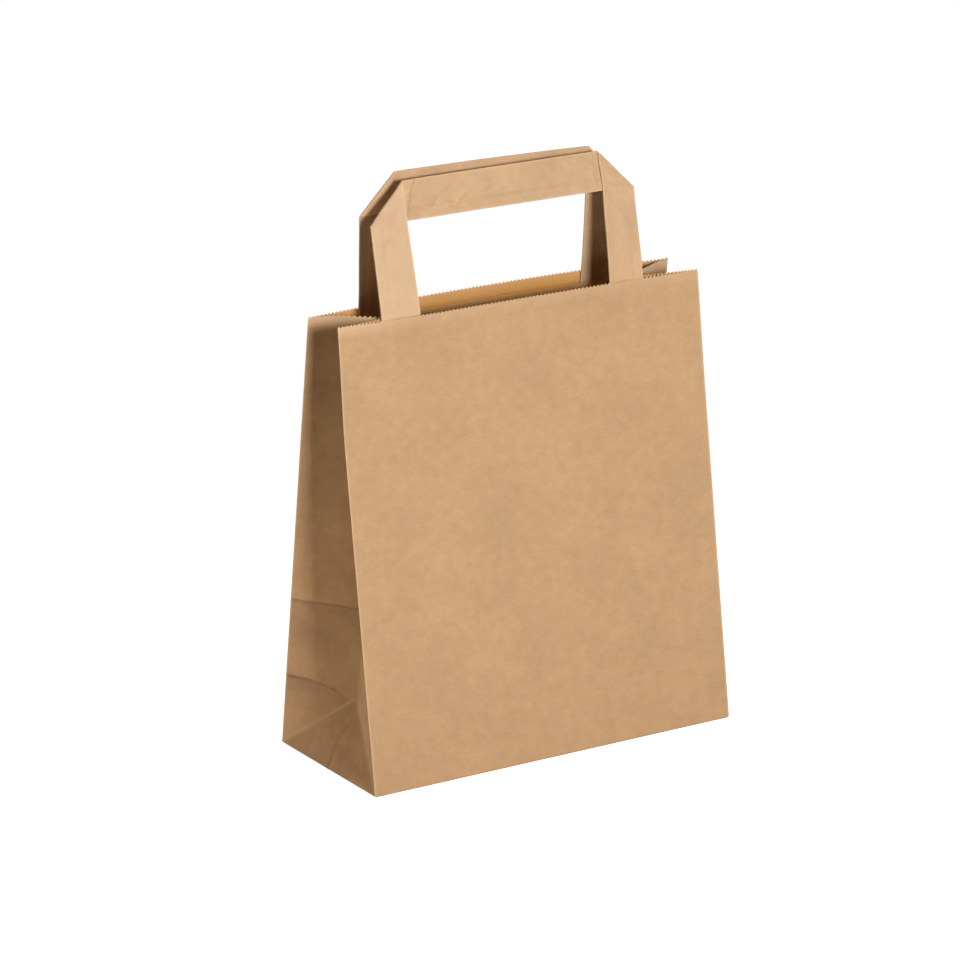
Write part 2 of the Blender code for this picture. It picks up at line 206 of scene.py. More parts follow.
def kraftPaper(name, colour, seed):
    # uncoated kraft: cloudy pulp, fine lengthwise fibres, short flecks, paler rubbed edges whose pale lines
    # along the folds are also a painted highlight, and a tone attribute that holds random tone and painted
    # light and shade
    look = paperLook
    material = bpy.data.materials.new(name)
    material.use_nodes = True
    tree = material.node_tree
    shader = tree.nodes["Principled BSDF"]
    uv = addNode(tree, "ShaderNodeUVMap", "blank", -1900, 0, uv_map="blank").outputs["UV"]
    wearAndHighlight = addNode(tree, "ShaderNodeAttribute", "wearAndHighlight", -1900, -500,
                   attribute_type="GEOMETRY", attribute_name="wearAndHighlight").outputs["Fac"]
    tone = addNode(tree, "ShaderNodeAttribute", "tone with painted shading", -1900, -700,
                   attribute_type="GEOMETRY", attribute_name="tone").outputs["Fac"]
    fine = (1, look["fibreStretch"])
    shifted = stretched(tree, "piece offset", -1700, 0, uv, (1, 1), seed)
    along = stretched(tree, "fibre direction", -1500, 200, shifted, fine)
    tilted = stretched(tree, "stray fibres", -1500, -200, shifted, (fine[0] * 0.9, fine[1] * 1.4), 3.1, 0.6)

    clouds = paperNoise(tree, "pulp clouds", -1200, 600, shifted, look["cloudSize"], 4, 0.62)
    fibreLength = look["fibreSize"] * look["fibreStretch"]
    fibres = paperNoise(tree, "fibres", -1200, 300, along, fibreLength, 5, 0.7, 0.3)
    strays = paperNoise(tree, "stray fibres", -1200, 0, tilted, look["fibreSize"] * 5, 3, 0.6, 0.5)
    grain = paperNoise(tree, "grain", -1200, -300, shifted, look["fibreSize"] * 0.45, 2, 0.8)

    dark = tuple(channel * (1 - look["cloudStrength"]) for channel in colour)
    light = tuple(min(channel * (1 + look["cloudStrength"]), 1) for channel in colour)
    base = mixColours(tree, "clouds", -900, 500, "MIX",
                      remap(tree, "cloud range", -1050, 600, clouds, 0.3, 0.7, 0, 1),
                      (*dark, 1), (*light, 1))
    weak, strong = 1 - look["fibreStrength"], 1 + look["fibreStrength"]
    fibreTone = remap(tree, "fibre range", -1050, 300, fibres, 0.25, 0.75, weak, strong)
    grainTone = remap(tree, "grain range", -1050, -300, grain, 0.2, 0.8, 0.96, 1.04)
    blotches = paperNoise(tree, "blotches", -1200, 800, shifted, look["blotchSize"], 3, 0.6)
    blotchTone = remap(tree, "blotch range", -1050, 800, blotches, 0.3, 0.7,
                       1 - look["blotchStrength"], 1 + look["blotchStrength"])
    base = mixColours(tree, "blotch tone", -800, 600, "MULTIPLY", 1.0, base,
                      grey(tree, "blotch grey", -950, 800, blotchTone))
    base = mixColours(tree, "fibre tone", -700, 400, "MULTIPLY", 1.0, base,
                      grey(tree, "fibre grey", -850, 200, fibreTone))
    base = mixColours(tree, "grain tone", -500, 300, "MULTIPLY", 1.0, base,
                      grey(tree, "grain grey", -850, -200, grainTone))
    fleckMask = remap(tree, "flecks", -1050, 0, strays, 0.70 - look["fleckShare"], 0.76, 0, 0.3)
    fleckColour = tuple(channel * 0.62 for channel in colour)
    base = mixColours(tree, "dark flecks", -300, 200, "MIX", fleckMask, base, (*fleckColour, 1))
    # pale rubbed colour, partly a painted highlight along folds
    rubbedAndHighlighted = tuple(min(channel * look["rubAndHighlightGain"] + look["rubAndHighlightLift"], 1) for channel in colour)
    # the tone multiplies the colour: random tone, and painted light and shade by creases, on the front
    # panel, the left gusset and the rear handle
    toneWithPaintedShading = remap(tree, "tone with painted shading", -1050, -700, tone, -1, 1, 0.5, 1.5)
    base = mixColours(tree, "tone with painted shading", -200, 150, "MULTIPLY", 1.0, base,
                      grey(tree, "painted shading grey", -850, -700, toneWithPaintedShading))
    wornAndHighlighted = remap(tree, "rubbed edges and painted highlight", -1050, -500, wearAndHighlight, 0, 1, 0, 1)
    base = mixColours(tree, "wearAndHighlight", -100, 100, "MIX", wornAndHighlighted, base, (*rubbedAndHighlighted, 1))
    tree.links.new(base, shader.inputs["Base Color"])

    tree.links.new(remap(tree, "roughness", -500, -200, fibres, 0.3, 0.7,
                         look["roughness"] - 0.06, look["roughness"] + 0.06), shader.inputs["Roughness"])
    shader.inputs["Metallic"].default_value = 0.0
    shader.inputs["IOR"].default_value = 1.38
    shader.inputs["Specular IOR Level"].default_value = 0.35
    height = addNode(tree, "ShaderNodeMath", "height", -500, -400, operation="ADD")
    tree.links.new(fibres, height.inputs[0])
    tree.links.new(grain, height.inputs[1])
    bump = addNode(tree, "ShaderNodeBump", "fibre relief", -300, -400)
    bump.inputs["Strength"].default_value = 0.6
    bump.inputs["Distance"].default_value = look["bumpHeight"]
    tree.links.new(height.outputs[0], bump.inputs["Height"])
    tree.links.new(bump.outputs["Normal"], shader.inputs["Normal"])
    return material


def grey(tree, label, x, y, value):
    node = addNode(tree, "ShaderNodeCombineColor", label, x, y)
    for socket in node.inputs:
        if socket.type == "VALUE":
            tree.links.new(value, socket)
    return node.outputs["Color"]


bodyPaper = kraftPaper("kraft_paper", paperLook["bodyColour"], 0.0)
insidePaper = kraftPaper("kraft_paper_inside", paperLook["insideColourWithPaintedBounce"], 31.0)
cutPaper = kraftPaper("kraft_paper_cut_edge", paperLook["edgeColour"], 37.0)
frontTapePaper = kraftPaper("front_handle_paper", paperLook["handleColour"], 4.0)
rearTapePaper = kraftPaper("rear_handle_paper", paperLook["handleColour"], 9.0)
frontLining = kraftPaper("front_patch_paper", paperLook["patchColour"], 14.0)
rearLining = kraftPaper("rear_patch_paper", paperLook["patchColour"], 19.0)
print("materials made")


# bag body: the same folds as the CAD solid, with softer and finer paper

bag = {
    "panelWidth": 0.180,
    "gussetWidth": 0.080,
    "height": 0.200,
    "paper": 0.0002,
    "mouthGap": 0.0220,
    "frontLeanShare": 0.462,
    "frontBow": -0.0010,
    "backBow": 0.0032,
    "leftFlare": 0.0026,
    "rightFlare": 0.0007,
    "flareDrop": 0.055,
    "toothPitch": 0.0019,
    "toothDepth": 0.0008,
    "creaseShare": 0.20,
    "foldSlack": 0.95,
    "kneeHeight": 0.0325,
    "kneeTuck": 0.0150,
    "leftSway": 0.0029,
    "flapLap": 0.011,
    "seamWidth": 0.013,
    "seamInset": 0.016,
    "rowStep": 0.0050,
    "foldWidth": 0.00035,
    "thinWidth": 0.0060,
    "rimDip": 0.0009,
    "panelWave": 0.00035,
    "gussetWave": 0.00075,
    "gussetTone": 0.34,
    "fineTone": 0.13,
    # painted shade on the base of the front panel
    "frontPaintedShade": 0.08,
    # painted light low and painted shade high on the left gusset
    "leftPaintedLight": 0.10,
    "leftPaintedShade": 0.42,
    # painted light and shade in the tone beside the gusset creases
    "creasePaintedLight": 0.34,
    "creasePaintedLine": 0.62,
    "creasePaintedShade": 0.42,
    "creaseBlend": 0.0012,
    "bendBelow": 0.0255,
    "bendAbove": 0.0290,
    "dipFrom": 0.14,
    "seed": 3,
}

baseHeight = 2 * bag["paper"]
leanDepth = bag["gussetWidth"] - bag["mouthGap"]
frontLean = math.asin(leanDepth * bag["frontLeanShare"] / bag["height"])
backLean = math.asin(leanDepth * (1 - bag["frontLeanShare"]) / bag["height"])
girth = 2 * (bag["panelWidth"] + bag["gussetWidth"])
faceStarts = [0.0, bag["panelWidth"], bag["panelWidth"] + bag["gussetWidth"],
              2 * bag["panelWidth"] + bag["gussetWidth"]]

# the crease that packing leaves across the left (-1) and right (1) gusset: its height at the front
# fold and at the back one; packRow is the row of the mesh that follows it
packCrease = {-1: (0.0742, 0.0693), 1: (0.0725, 0.0680)}
packRow = 0.0705
# all creases of each gusset: points on the paper, how far it rises beside them and how wide
# the first number of a point runs from the front fold to the back one, the second up from the base
gussetCreases = {
    -1: [([(0.0, 0.0742), (0.080, 0.0693)], 0.00085, 0.0065),
         ([(0.0425, 0.0300), (0.0515, 0.0330), (0.067, 0.0345), (0.080, 0.0328)], 0.0009, 0.0050),
         ([(0.040, 0.0), (0.0415, 0.012), (0.0385, 0.0195)], 0.0004, 0.0030)],
    1: [([(0.0, 0.0725), (0.080, 0.0680)], 0.00080, 0.0065),
        ([(0.0, 0.0335), (0.014, 0.0345), (0.030, 0.0325)], 0.0007, 0.0050)],
}


def cornerFlare(side, across, v):
    if side > 0:
        return 0.0
    height = smoothStep((v - bag["height"] + bag["flareDrop"]) / bag["flareDrop"])
    return (bag["leftFlare"] if across < 0 else bag["rightFlare"]) * height * across ** 2


def panelPoint(side, x, v, depth=0.0):
    # side -1 is the front and 1 the back; v runs up the paper; depth goes into the bag
    lean = frontLean if side < 0 else backLean
    bow = bag["frontBow"] if side < 0 else bag["backBow"]
    rise = min(max(v / bag["height"], 0.0), 1.0) ** 2
    across = 2 * x / bag["panelWidth"]
    outward = bow * (1 - across ** 2) * rise + cornerFlare(side, across, v) - depth
    y = bag["gussetWidth"] / 2 - v * math.sin(lean) + outward * math.cos(lean)
    z = baseHeight + v * math.cos(lean) + outward * math.sin(lean)
    return Vector((x, side * y, z))


def kneePoint(end):
    rise = math.sqrt(bag["kneeHeight"] ** 2 - bag["kneeTuck"] ** 2)
    return Vector((end * (bag["panelWidth"] / 2 - bag["kneeTuck"]), 0, baseHeight + rise))


def mouthCreasePoint(end):
    half = bag["gussetWidth"] / 2
    front = panelPoint(-1, end * bag["panelWidth"] / 2, bag["height"])
    back = panelPoint(1, end * bag["panelWidth"] / 2, bag["height"])
    top = front.lerp(back, bag["creaseShare"])
    top.x -= end * bag["foldSlack"] * math.sqrt(half ** 2 - (back.y - top.y) ** 2)
    return top


def gussetPoint(end, u, v):
    half = bag["gussetWidth"] / 2
    edge = end * bag["panelWidth"] / 2
    near = min(u, bag["gussetWidth"] - u)
    side = -1 if u < half else 1
    corner = panelPoint(side, edge, v)
    knee = kneePoint(end)
    if v >= bag["kneeHeight"]:
        share = (v - bag["kneeHeight"]) / (bag["height"] - bag["kneeHeight"])
        place = corner.lerp(knee.lerp(mouthCreasePoint(end), share), near / half)
        if side > 0 and end < 0:
            place.y += bag["leftSway"] * smoothStep(share) * math.sin(2 * math.pi * near / half)
        return place
    diagonal = v * half / bag["kneeHeight"]
    if near < diagonal:
        base = panelPoint(side, edge, 0)
        return corner.lerp(base.lerp(knee, v / bag["kneeHeight"]), near / diagonal)
    base = panelPoint(-1, edge, 0).lerp(panelPoint(1, edge, 0),
                                        (u - diagonal) / (bag["gussetWidth"] - 2 * diagonal))
    return base.lerp(knee, v / bag["kneeHeight"])


def bagFace(u):
    # which face of the tube a point of the blank is on, and how far along that face
    width, gusset = bag["panelWidth"], bag["gussetWidth"]
    if u <= width:
        return "front", u - width / 2
    if u < width + gusset:
        return "right", u - width
    if u <= 2 * width + gusset:
        return "back", width / 2 - (u - width - gusset)
    return "left", gusset - (u - 2 * width - gusset)


def foldedPoint(u, v):
    face, along = bagFace(u)
    if face == "front":
        return panelPoint(-1, along, v)
    if face == "back":
        return panelPoint(1, along, v)
    return gussetPoint(1 if face == "right" else -1, along, v)


def paperRelief(u, v):
    # how far the paper stands out of its folded plane: nothing at the folds of the tube, and at
    # the base only where a crease reaches it
    face, along = bagFace(u)
    seed = bag["seed"]
    height = min(v / 0.02, 1.0)
    if face in ("front", "back"):
        across = 1 - abs(2 * along / bag["panelWidth"]) ** 6
        wave = softNoise((along, v, 0), 0.055, seed)
        wave += 0.35 * softNoise((along, v, 1), 0.021, seed)
        return bag["panelWave"] * wave * across * height
    end = 1 if face == "right" else -1
    near = min(along, bag["gussetWidth"] - along) / (bag["gussetWidth"] / 2)
    side = -1 if along < bag["gussetWidth"] / 2 else 1
    room = abs(gussetPoint(end, along, v).y - panelPoint(side, end * bag["panelWidth"] / 2, v).y)
    free = min(near * 4, room / 0.004, 1.0) * height
    wave = softNoise((along, v, 2 + end), 0.030, seed)
    wave += 0.4 * softNoise((along, v, 4 + end), 0.012, seed)
    relief = bag["gussetWave"] * wave * free * (1 - 0.6 * hump(1 - near, 0.3))
    for points, rise, width in gussetCreases[end]:
        relief += rise * creaseShape((along, v), points, width) * min(near * 5, 1.0)
    return relief


def creasePlace(point, points, width):
    # signed distance above the nearest stretch of a crease, and how much is left past its ends
    nearest = []
    for start, stop in zip(points, points[1:]):
        line = Vector(stop) - Vector(start)
        offset = Vector(point) - Vector(start)
        share = offset.dot(line) / line.length_squared
        beyond = max(-share, share - 1, 0.0) * line.length
        above = line.cross(offset) / line.length
        nearest.append((math.hypot(above, beyond), above, beyond))
    above, beyond = min(nearest)[1:]
    return above, hump(beyond, 0.5 * width)


def toneWithPaintedShading(u, v):
    # painted light and shade: paler on the bulge above a crease, darker in and under its valley; the front
    # panel darker towards its base; the left gusset paler low down and darker high up; random tone besides
    face, along = bagFace(u)
    seed = bag["seed"]
    if face == "front":
        # painted shade: the front panel darker towards its base
        lower = 1 - smoothStep(v / 0.075)
        return -bag["frontPaintedShade"] * lower + 0.02 * softNoise((along, v, 7), 0.03, seed)
    if face == "back":
        return 0.0
    end = 1 if face == "right" else -1
    tone = 0.0
    # painted light low on the left gusset and painted shade high on it
    if end < 0:
        tone = bag["leftPaintedLight"] - bag["leftPaintedShade"] * smoothStep((v - 0.06) / 0.11)
    tone += bag["gussetTone"] * softNoise((along * 0.6, v, 9 + end), 0.014, seed)
    tone += bag["fineTone"] * softNoise((along, v, 12 + end), 0.0045, seed)
    # painted light on the bulge above each crease, painted shade in and under its valley
    for points, rise, width in gussetCreases[end]:
        above, fade = creasePlace((along, v), points, width)
        strength = fade * rise / 0.001
        patchy = 0.8 + 0.5 * softNoise((along, v, 15), 0.011, seed)
        light = bag["creasePaintedLight"] * math.exp(-max(above, 0.0) / (1.5 * width)) * patchy
        line = bag["creasePaintedLine"] * math.exp(-abs(above) / (0.24 * width))
        shade = bag["creasePaintedShade"] * math.exp(-abs(above) / (1.2 * width)) * patchy
        upper = smoothStep(above / bag["creaseBlend"])
        tone += strength * (light * upper - (line + shade) * (1 - upper))
    return tone


def creaseShape(point, points, width):
    # the paper bulges above a crease and falls away sharply just below it
    above, fade = creasePlace(point, points, width)
    if above > 0:
        return fade * max(1 - above / width, 0.0) ** 1.5
    return fade * (1.6 * max(1 + above / (0.25 * width), 0.0) - 0.6 * max(1 + above / width, 0.0))


def foldWearAndHighlight(u, v):
    # paper is rubbed pale along its folds and its cut edge; along the folds and the gussets' diagonal and
    # centre creases the pale line is also a painted highlight
    nearest = min(abs(u - fold) for fold in faceStarts + [girth])
    wearAndHighlight = 0.6 * hump(nearest, 0.0006) + 0.95 * hump(bag["height"] - v, 0.0014)
    face, along = bagFace(u)
    # painted highlight: pale lines along the diagonal creases below the knee and the centre crease above it
    if face in ("left", "right"):
        half = bag["gussetWidth"] / 2
        near = min(along, bag["gussetWidth"] - along)
        slope = half / bag["kneeHeight"]
        if v < bag["kneeHeight"]:
            wearAndHighlight += 0.5 * hump((near - v * slope) / math.sqrt(1 + slope ** 2), 0.0008)
        else:
            wearAndHighlight += 0.3 * hump(half - near, 0.0006)
    return min(wearAndHighlight, 1.0)


def outwardOf(u, v):
    step = 0.0004
    low, high = max(v - step, 0.0), min(v + step, bag["height"])
    left = foldedPoint((u - step) % girth, v)
    right = foldedPoint((u + step) % girth, v)
    return (right - left).cross(foldedPoint(u, high) - foldedPoint(u, low)).normalized()


def bagColumns():
    teeth = []
    start = 0.0
    for width in (bag["panelWidth"], bag["gussetWidth"]) * 2:
        count = 2 * round(width / bag["toothPitch"])
        teeth += [start + width * index / count for index in range(count)]
        teeth += [start + bag["foldWidth"], start + width - bag["foldWidth"]]
        start += width
    return sorted(set(teeth)) + [girth]


def bagRows():
    # rows are close where the gussets are creased, and one of them becomes the packing crease
    knee = bag["kneeHeight"]
    rows = evenSteps(0, 0.026, 0.0013)[:-1] + evenSteps(0.026, knee, 0.00072)[:-1]
    rows += evenSteps(knee, 0.038, 0.00072)[:-1] + evenSteps(0.038, 0.060, 0.0037)
    offsets = (-0.0065, -0.0045, -0.0032, -0.0023, -0.001625, -0.0011, -0.00055, 0,
               0.0005, 0.0012, 0.0021, 0.0033, 0.0048, 0.0065)
    rows += [packRow + offset for offset in offsets]
    upper = evenSteps(0.0795, bag["height"] - bag["toothDepth"], bag["rowStep"])
    return rows + upper + [bag["height"]]


def creaseHeight(u):
    # the packing crease runs on across both panels, where it has no relief
    face, along = bagFace(u)
    if face in ("left", "right"):
        front, back = packCrease[1 if face == "right" else -1]
        return front + (back - front) * along / bag["gussetWidth"]
    index = 0 if face == "front" else 1
    share = along / bag["panelWidth"] + 0.5
    return packCrease[-1][index] * (1 - share) + packCrease[1][index] * share


def rimDip(u):
    # the cut edge of the front panel is a little lower than the rest of the mouth
    face, along = bagFace(u)
    if face == "front":
        return bag["rimDip"] * smoothStep((along + bag["panelWidth"] / 2) / 0.05)
    return bag["rimDip"] * (1 - along / bag["gussetWidth"]) if face == "right" else 0.0


def rowHeight(u, v):
    # rows near the packing crease bend to run along it, and the upper ones follow the rim's dip
    reach = bag["bendBelow"] if v < packRow else bag["bendAbove"]
    bend = (creaseHeight(u) - packRow) * max(1 - abs(v - packRow) / reach, 0.0)
    dip = rimDip(u) * smoothStep((v - bag["dipFrom"]) / (bag["height"] - bag["dipFrom"]))
    return v + bend - dip


def placeBag(u, v):
    v = rowHeight(u, v)
    point = foldedPoint(u, v) + outwardOf(u, v) * paperRelief(u, v)
    return point, foldWearAndHighlight(u, v), toneWithPaintedShading(u, v)


def markRim(bm, rim):
    # the notch of each rim point, as a vector down the paper, for the zigzag tree
    notch = bm.verts.layers.float_vector["notch"]
    step = bm.verts.layers.int["rimStep"]
    for index, (top, below) in enumerate(rim):
        top[notch] = (below.co - top.co).normalized()
        top[step] = index + 1


def newTree(name, inputs):
    tree = bpy.data.node_groups.new(name, "GeometryNodeTree")
    sockets = {}
    tree.interface.new_socket("Geometry", in_out="INPUT", socket_type="NodeSocketGeometry")
    for label, kind, value in inputs:
        socket = tree.interface.new_socket(label, in_out="INPUT", socket_type="NodeSocket" + kind)
        if value is not None:
            socket.default_value = value
        sockets[label] = socket.identifier
    tree.interface.new_socket("Geometry", in_out="OUTPUT", socket_type="NodeSocketGeometry")
    return tree, sockets


def zigzagTree():
    # pulls every second point of the rim down the paper, so that the cut edge is a row of teeth
    tree, sockets = newTree("zigzag_rim", [("Tooth Depth", "Float", 0.001), ("Material", "Material", None)])
    source = addNode(tree, "NodeGroupInput", "sheet", -900, 0)
    target = addNode(tree, "NodeGroupOutput", "toothed sheet", 500, 0)
    step = addNode(tree, "GeometryNodeInputNamedAttribute", "rim step", -900, -200, data_type="INT")
    step.inputs["Name"].default_value = "rimStep"
    notch = addNode(tree, "GeometryNodeInputNamedAttribute", "notch", -900, -400, data_type="FLOAT_VECTOR")
    notch.inputs["Name"].default_value = "notch"
    odd = addNode(tree, "FunctionNodeCompare", "every second point", -450, -200,
                  data_type="INT", operation="EQUAL")
    rest = addNode(tree, "ShaderNodeMath", "halves", -650, -200, operation="MODULO")
    rest.inputs[1].default_value = 2
    tree.links.new(step.outputs["Attribute"], rest.inputs[0])
    tree.links.new(rest.outputs[0], odd.inputs[2])
    odd.inputs[3].default_value = 1
    pull = addNode(tree, "ShaderNodeVectorMath", "pull down", -450, -400, operation="SCALE")
    tree.links.new(notch.outputs["Attribute"], pull.inputs[0])
    tree.links.new(source.outputs["Tooth Depth"], pull.inputs["Scale"])
    move = addNode(tree, "GeometryNodeSetPosition", "cut teeth", -200, 0)
    tree.links.new(source.outputs["Geometry"], move.inputs["Geometry"])
    tree.links.new(odd.outputs[0], move.inputs["Selection"])
    tree.links.new(pull.outputs[0], move.inputs["Offset"])
    realize = addNode(tree, "GeometryNodeRealizeInstances", "realize", 50, 0)
    paint = addNode(tree, "GeometryNodeSetMaterial", "paper", 250, 0)
    tree.links.new(move.outputs[0], realize.inputs[0])
    tree.links.new(realize.outputs[0], paint.inputs["Geometry"])
    tree.links.new(source.outputs["Material"], paint.inputs["Material"])
    tree.links.new(paint.outputs[0], target.inputs[0])
    return tree, sockets


zigzag, zigzagInputs = zigzagTree()


def cutTeeth(obj, depth, material):
    cut = obj.modifiers.new("zigzag", "NODES")
    cut.node_group = zigzag
    cut[zigzagInputs["Tooth Depth"]] = depth
    cut[zigzagInputs["Material"]] = material


def baseFlap(bm, side, height):
    # a base flap of one paper, with slanted ends
    reach = bag["gussetWidth"] / 2 + bag["flapLap"]
    inset = bag["paper"]
    uvLayer = bm.loops.layers.uv.active
    teeth = round((bag["panelWidth"] - 2 * reach) / bag["toothPitch"])
    ends = [(-(bag["panelWidth"] / 2 - 2 * inset), inset), (bag["panelWidth"] / 2 - 2 * inset, inset)]
    far = bag["panelWidth"] / 2 - inset - reach
    points = ends + [(far - 2 * far * index / (2 * teeth), reach - (bag["toothDepth"] if index % 2 else 0))
                     for index in range(2 * teeth + 1)]
    rings = []
    for z in (height, height + bag["paper"] * 0.98):
        rings.append([bm.verts.new((x, side * (bag["gussetWidth"] / 2 - run), z)) for x, run in points])
    faces = [bm.faces.new(rings[0]), bm.faces.new(rings[1])]
    for index in range(len(points)):
        following = (index + 1) % len(points)
        faces.append(bm.faces.new((rings[0][index], rings[0][following],
                                   rings[1][following], rings[1][index])))
    bmesh.ops.recalc_face_normals(bm, faces=faces)
    for face in faces:
        for loop in face.loops:
            loop[uvLayer].uv = (loop.vert.co.x / unitUv + 7, loop.vert.co.y / unitUv + side)


def buildBag():
    columns, rows = bagColumns(), bagRows()
    bm, grid = sheetFromGrid(columns, rows, placeBag, closed=True)
    rim = list(zip(grid[-1][:-1], grid[-2][:-1]))
    markRim(bm, rimTeeth(columns, rim))
    uvLayer = bm.loops.layers.uv.active
    floor = bm.faces.new(grid[0][:-1])
    for loop in floor.loops:
        loop[uvLayer].uv = (loop.vert.co.x / unitUv + 7, loop.vert.co.y / unitUv + 4)
    bmesh.ops.triangulate(bm, faces=[floor])
    bmesh.ops.recalc_face_normals(bm, faces=bm.faces[:])
    outside = sum(face.normal.dot(face.calc_center_median() - Vector((0, 0, 0.1))) for face in bm.faces)
    if outside < 0:
        bmesh.ops.reverse_faces(bm, faces=bm.faces[:])
    body = meshObject("paper_bag", bm, bodyPaper)
    cutTeeth(body, bag["toothDepth"], bodyPaper)
    bakeModifiers(body)
    body.data.materials.clear()
    for material in (bodyPaper, insidePaper, cutPaper):
        body.data.materials.append(material)
    addThickness(body, bag["paper"], -1.0)
    thinFolds(body)
    body.modifiers["thickness"].vertex_group = "thick"
    body.modifiers["thickness"].thickness_vertex_group = 0.02
    body.modifiers["thickness"].material_offset = 1
    body.modifiers["thickness"].material_offset_rim = 2
    bakeModifiers(body)
    return body


def thinFolds(body):
    # near the mouth the gussets lie almost on the panels, so the paper thins into the fold there
    group = body.vertex_groups.new(name="thick")
    uvs = body.data.uv_layers["blank"].data
    for loop in body.data.loops:
        u = uvs[loop.index].uv[0] * unitUv
        if u > girth + 0.01:
            continue
        nearest = min(abs(u - fold) for fold in faceStarts + [girth])
        group.add([loop.vertex_index], smoothStep(nearest / bag["thinWidth"]), "REPLACE")


def rimTeeth(columns, rim):
    # the tooth points of the rim only, without the extra columns beside the folds
    pitch = bag["toothPitch"]
    kept = []
    for column, pair in zip(columns, rim):
        start = max(s for s in faceStarts if s <= column + 1e-9)
        width = bag["panelWidth"] if faceStarts.index(start) % 2 == 0 else bag["gussetWidth"]
        half = width / (2 * round(width / pitch))
        if abs((column - start) / half - round((column - start) / half)) < 1e-3:
            kept.append(pair)
    return kept


def buildFlaps():
    bm = bmesh.new()
    bm.loops.layers.uv.new("blank")
    baseFlap(bm, 1, bag["paper"])
    baseFlap(bm, -1, 0.0)
    return meshObject("base_flaps", bm, bodyPaper)


def buildSeam():
    # the glued lap of the tube, one more paper on the back panel near its +X edge
    left = bag["panelWidth"] / 2 - bag["seamInset"] - bag["seamWidth"]

    def place(x, v):
        u = bag["panelWidth"] + bag["gussetWidth"] + bag["panelWidth"] / 2 - x
        point = panelPoint(1, x, v) + outwardOf(u, v) * (paperRelief(u, v) + bag["paper"] * 0.02)
        return point, 0.5 * hump(x - left, 0.0004), 0.0

    columns = evenSteps(left, left + bag["seamWidth"], 0.0022)
    margin = 0.003
    rows = evenSteps(margin, bag["height"] - margin, 0.004)
    bm = sheetFromGrid(columns, rows, place)[0]
    bmesh.ops.recalc_face_normals(bm, faces=bm.faces[:])
    if sum(face.normal.y for face in bm.faces) < 0:
        bmesh.ops.reverse_faces(bm, faces=bm.faces[:])
    seam = meshObject("tube_seam", bm, bodyPaper)
    addThickness(seam, bag["paper"], 1.0)
    bakeModifiers(seam)
    return seam


for piece in (buildBag(), buildFlaps(), buildSeam()):
    finishPiece(piece, ["bag_body"])
print("bag folded")


# handles: flat tape with a mitred fold at each corner

tape = {
    "width": 0.0170,
    "thickness": 0.0006,
    "foldGap": 0.0002,
    "span": 0.1285,
    "legTuck": 0.038,
    "legSplay": 0.0010,
    "bendLength": 0.012,
    "clearance": 0.0003,
    "step": 0.0007,
    "lapAt": 0.0048,
    "lapRise": 0.00016,
    "pucker": 0.00070,
    "ripple": 0.00055,
    "wave": 0.0006,
    "rearGripTone": 0.20,
    # the rear leg shades are a painted shadow of the front handle
    "rearLeftShade": 0.50,
    "rearRightShade": 0.45,
}

handles = {
    -1: {"name": "front", "rise": 0.0555, "shift": -0.0025, "bend": 2.5, "tilt": 0.0, "seed": 11},
    1: {"name": "rear", "rise": 0.0566, "shift": -0.0012, "bend": -5.0, "tilt": 1.0, "seed": 23},
}


# creases of the front handle's crossbar: points, rise and width; a runs along the tape, b across it
tapeCreases = [
    ([(-0.0464, 0.0044), (-0.0451, 0.0080), (-0.0446, 0.0115), (-0.0421, 0.0165)], 0.00075, 0.0037),
    ([(-0.0446, 0.0041), (-0.0392, 0.0050), (-0.0349, 0.0038)], 0.00045, 0.0031),
    ([(-0.0317, 0.0074), (-0.0341, 0.0040)], 0.00038, 0.0031),
    ([(-0.0267, 0.0033), (-0.0222, 0.0042), (-0.0196, 0.0066), (-0.0160, 0.0087)], 0.00052, 0.0034),
    ([(-0.0110, 0.0040), (-0.0080, 0.0064)], 0.00030, 0.0027),
    ([(-0.0096, 0.0075), (-0.0050, 0.0100)], 0.00033, 0.0034),
    ([(0.0445, 0.0030), (0.0438, 0.0090), (0.0448, 0.0150)], 0.00038, 0.0024),
    ([(0.0405, 0.0140), (0.0436, 0.0100)], 0.00027, 0.0024),
]


# how far the edges of the front handle's legs move sideways; nothing nearer the middle than "from" moves
heldLegs = {
    "from": 0.036,
    "leftOuter": 0.0010,
    "leftInner": 0.0013,
    "rightInner": 0.0010,
    "rightInnerLow": 0.0010,
    "rightOuter": 0.0010,
}


def heldShift(x, s):
    # the front handle has been held: its left leg is pressed wider and its right one narrower
    rise, width = handles[-1]["rise"], tape["width"]
    outer = tape["span"] / 2
    inner = outer - width
    free = smoothStep(1 + s / 0.006)
    low = 1 - min(max(s, 0.0) / (rise - width), 1.0)
    if x < 0:
        left = -heldLegs["leftOuter"] * smoothStep((-x - 0.049) / 0.012)
        return free * (left + heldLegs["leftInner"] * low * smoothStep((x + outer) / width))
    past = smoothStep((x - inner) / width)
    lower = smoothStep((rise - 0.003 - s) / 0.012)
    down = heldLegs["rightInner"] + heldLegs["rightInnerLow"] * lower * (1 - past) ** 3
    narrow = down * smoothStep((x - heldLegs["from"]) / 0.010) * (1 - past)
    return free * (narrow * (1 - 0.3 * low) + heldLegs["rightOuter"] * low * past)


def tapePoint(side, x, s, depth):
    handle = handles[side]
    above = max(s, 0.0)
    bend = tape["bendLength"]
    bent = above ** 2 / (2 * bend) if above < bend else above - bend / 2
    splay = tape["legSplay"] * above / handle["rise"] * x / (tape["span"] / 2)
    if side < 0 and abs(x) > heldLegs["from"]:
        splay += heldShift(x, s)
    lift = -x * math.tan(math.radians(handle["tilt"])) * smoothStep(above / handle["rise"])
    inward = depth + bent * math.tan(math.radians(handle["bend"]))
    return panelPoint(side, x + handle["shift"] + splay, bag["height"] + s + lift, inward)


